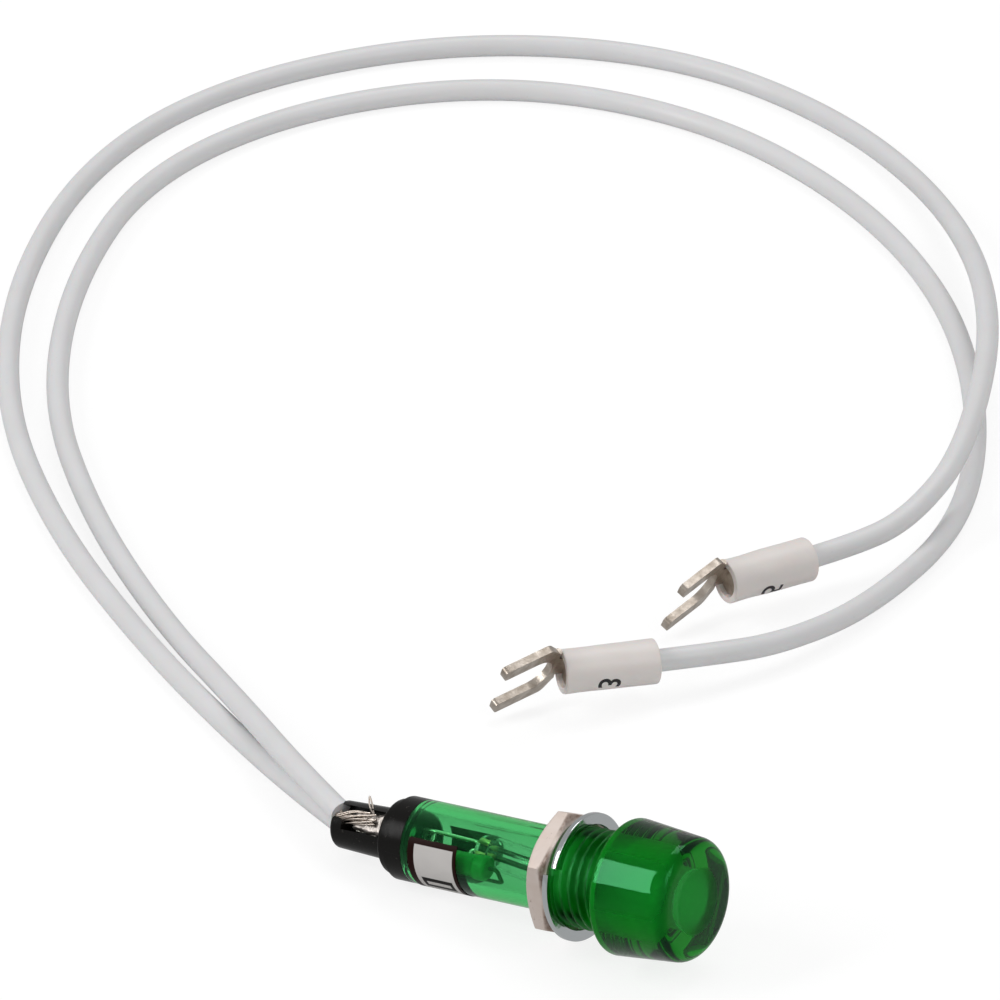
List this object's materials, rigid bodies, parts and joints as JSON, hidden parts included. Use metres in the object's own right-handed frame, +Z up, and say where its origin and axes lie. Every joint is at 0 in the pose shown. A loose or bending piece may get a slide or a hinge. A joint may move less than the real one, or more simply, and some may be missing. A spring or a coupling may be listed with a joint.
{
  "type": "panel pilot light",
  "caption": "Round green panel pilot light: domed lens moulded in one with its threaded barrel, hex nut, split washer, and wire leads with numbered sleeves and fork terminals.",
  "frame": {"origin": "on the table, below the middle of the lamp's own box, without its wires", "axes": "+X forward along the lamp as it lies, towards the lens, with the lamp's axis 7.64 degrees nose up; +Z up from the table"},
  "size_m": [0.1459, 0.1608, 0.0146],
  "materials": {
    "green_plastic": "clear green, glossy, see-through",
    "nickel_plate": "dull nickel plating with a little rust",
    "bright_plate": "bright plating",
    "black_plastic": "glossy",
    "tinned_metal": "tinned, dull",
    "solder": "rough, cast",
    "bulb_glass": "clear",
    "electrode_metal": "dull",
    "resistor_lacquer": "lacquered",
    "lead_wire": "drawn wire",
    "label_paper": "printed film, dark border",
    "white_insulation": "satin extruded insulation",
    "copper_strands": "tinned strands",
    "white_sleeve": "satin extruded tube",
    "terminal_tin": "tin plating, sheared edges"
  },
  "bodies": {
    "lamp": {"lens_body": "green_plastic", "rear_plug": "black_plastic", "solder_lug_upper": "tinned_metal", "solder_lug_lower": "tinned_metal", "solder_upper": "solder", "solder_lower": "solder", "bulb_glass": "bulb_glass", "electrode_upper": "electrode_metal", "electrode_lower": "electrode_metal", "resistor_body": "resistor_lacquer", "resistor_front_lead": "lead_wire", "resistor_rear_lead": "lead_wire", "rating_label": "label_paper", "wire_outer": "white_insulation", "wire_inner": "white_insulation", "bare_end_outer": "copper_strands", "bare_end_inner": "copper_strands", "marker_sleeve_outer": "white_sleeve", "marker_sleeve_inner": "white_sleeve", "fork_terminal_outer": "terminal_tin", "fork_terminal_inner": "terminal_tin", "crimped_end_outer": "copper_strands", "crimped_end_inner": "copper_strands"},
    "washer": {"lock_washer": "bright_plate"},
    "nut": {"hex_nut": "nickel_plate"}
  },
  "joints": [
    {"name": "washer_slide", "type": "slide", "parent": "lamp", "child": "washer", "axis": [0.9911, 0, 0.133], "range_m": [0, 0.0043]},
    {"name": "nut_turn", "type": "hinge", "parent": "washer", "child": "nut", "pos_m": [0.00582, 0, 0.00668], "axis": [0.9911, 0, 0.133], "range_deg": [0, 1548]}
  ],
  "couplings": [
    {"joint": "nut_turn", "follows": "washer_slide", "rad_per_m": 6283.2}
  ]
}
